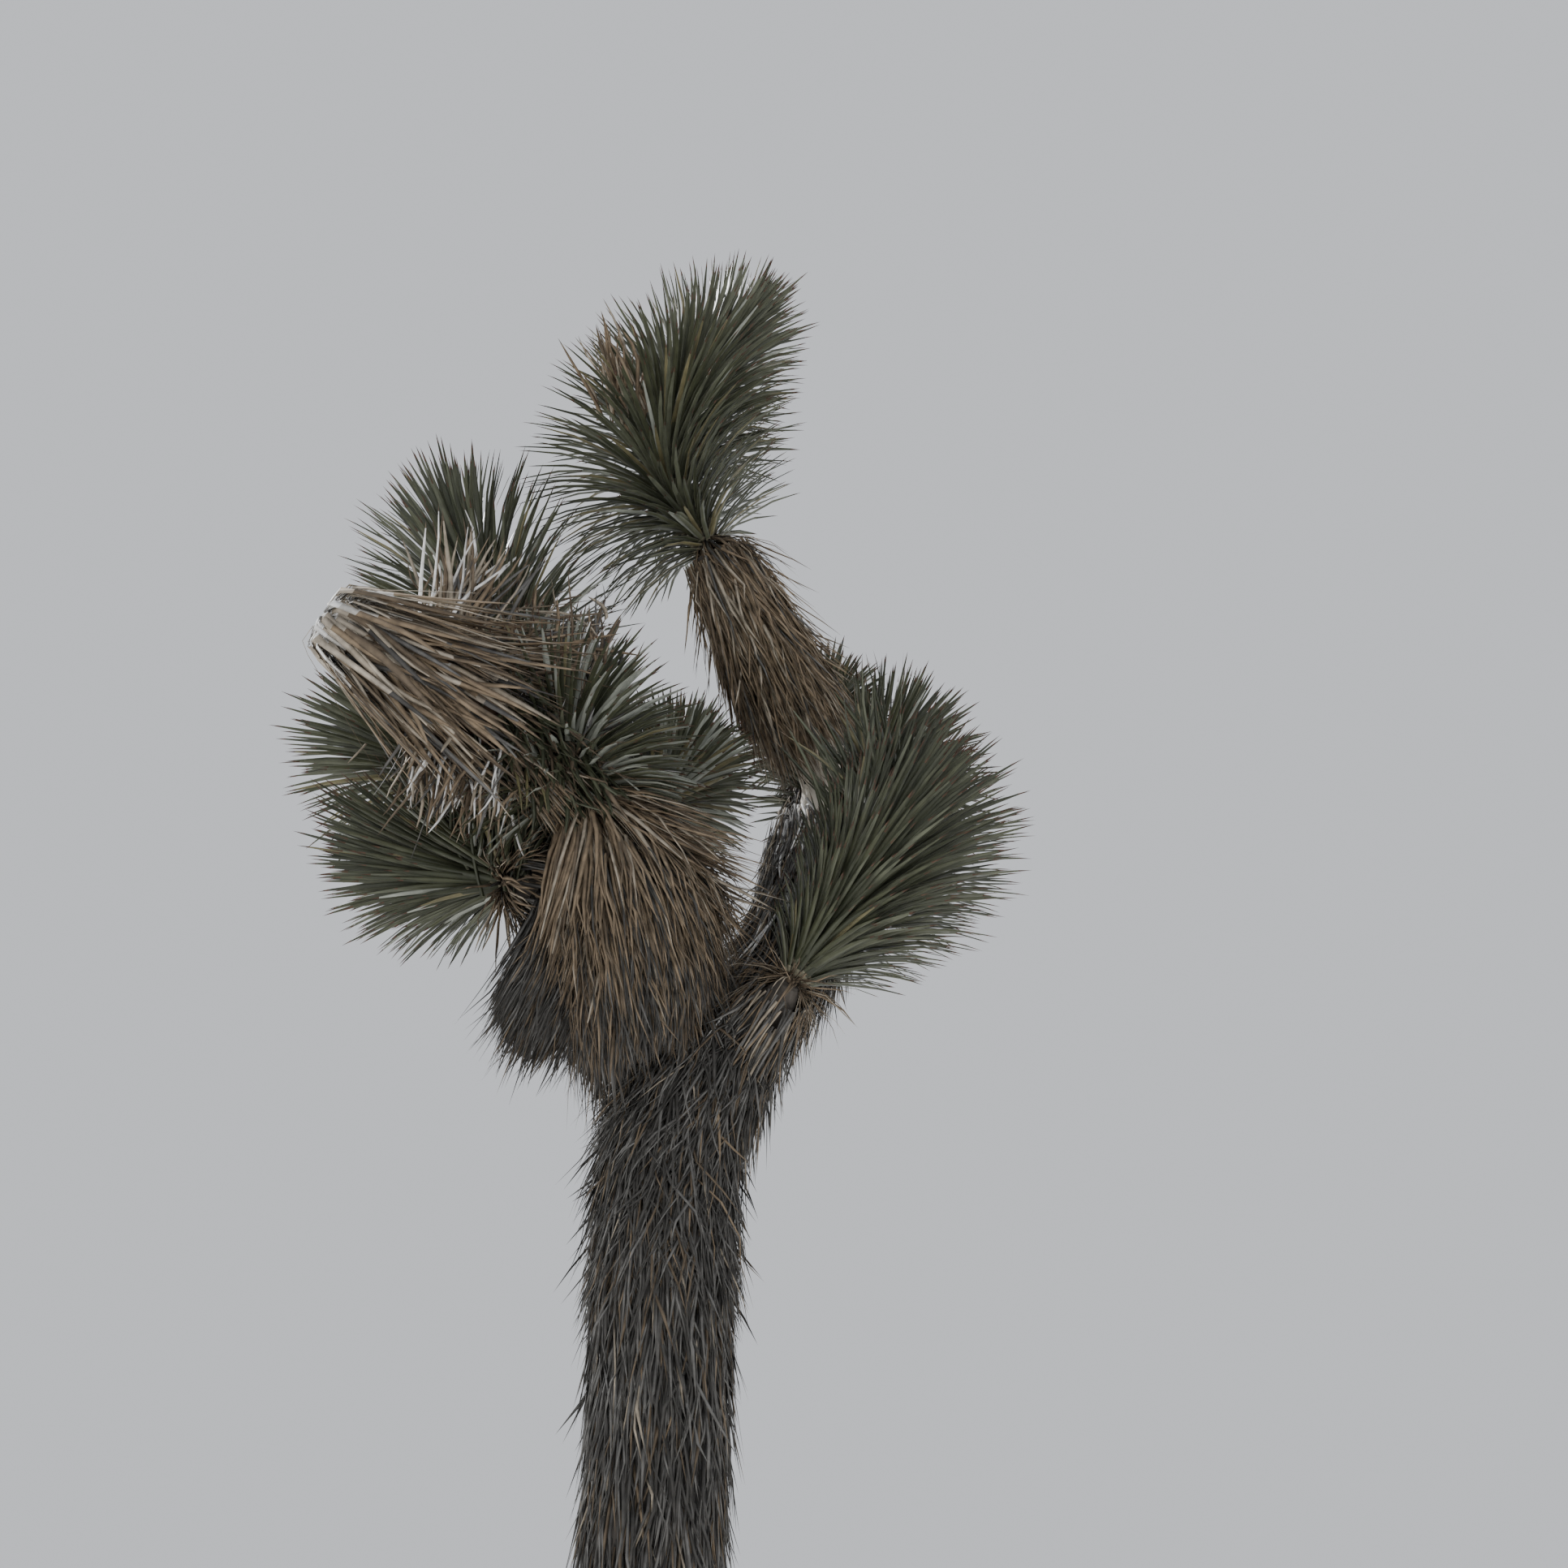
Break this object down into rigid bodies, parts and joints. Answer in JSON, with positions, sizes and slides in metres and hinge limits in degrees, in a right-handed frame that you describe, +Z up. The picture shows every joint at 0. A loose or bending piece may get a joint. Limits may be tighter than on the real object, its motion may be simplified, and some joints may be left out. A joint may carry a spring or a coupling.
{
  "type": "joshua tree",
  "caption": "Rooted joshua tree: a tall trunk thatched with old leaves forks into crooked boughs that end in balls of stiff pointed leaves, over hanging skirts of dead ones",
  "frame": {"origin": "middle of the flat cut under the trunk, at ground level", "axes": "+Z up, -Y towards the viewer of the picture, +X to that viewer's right"},
  "size_m": [1.4534, 1.2345, 4.9469],
  "materials": {
    "grey_thatch": "rough dry leaf thatch",
    "brown_thatch": "rough dry leaf thatch",
    "bare_wood": "weathered, fibrous",
    "green_leaves": "waxy, stiff leaf",
    "dead_leaves": "dry, dull leaf",
    "bleached_leaves": "sun-bleached leaf"
  },
  "bodies": {
    "root": {"trunk": "grey_thatch", "bough_right": "grey_thatch", "bough_top": "brown_thatch", "bough_spur": "grey_thatch", "bough_left": "grey_thatch", "bough_low": "grey_thatch", "bough_front": "grey_thatch", "bough_rear": "grey_thatch", "bough_inner": "grey_thatch", "bough_upper_left": "grey_thatch", "bough_far_left": "grey_thatch", "bough_outer": "grey_thatch", "bough_back": "grey_thatch", "dead_arm": "bare_wood", "head_top": "green_leaves", "head_right": "green_leaves", "head_upper_left": "green_leaves", "head_far_left": "green_leaves", "head_low_left": "green_leaves", "head_front": "green_leaves", "head_inner": "green_leaves", "head_outer": "green_leaves", "head_back": "green_leaves", "dead_crown": "bleached_leaves", "skirt_front": "dead_leaves", "skirt_left": "dead_leaves"}
  },
  "joints": []
}
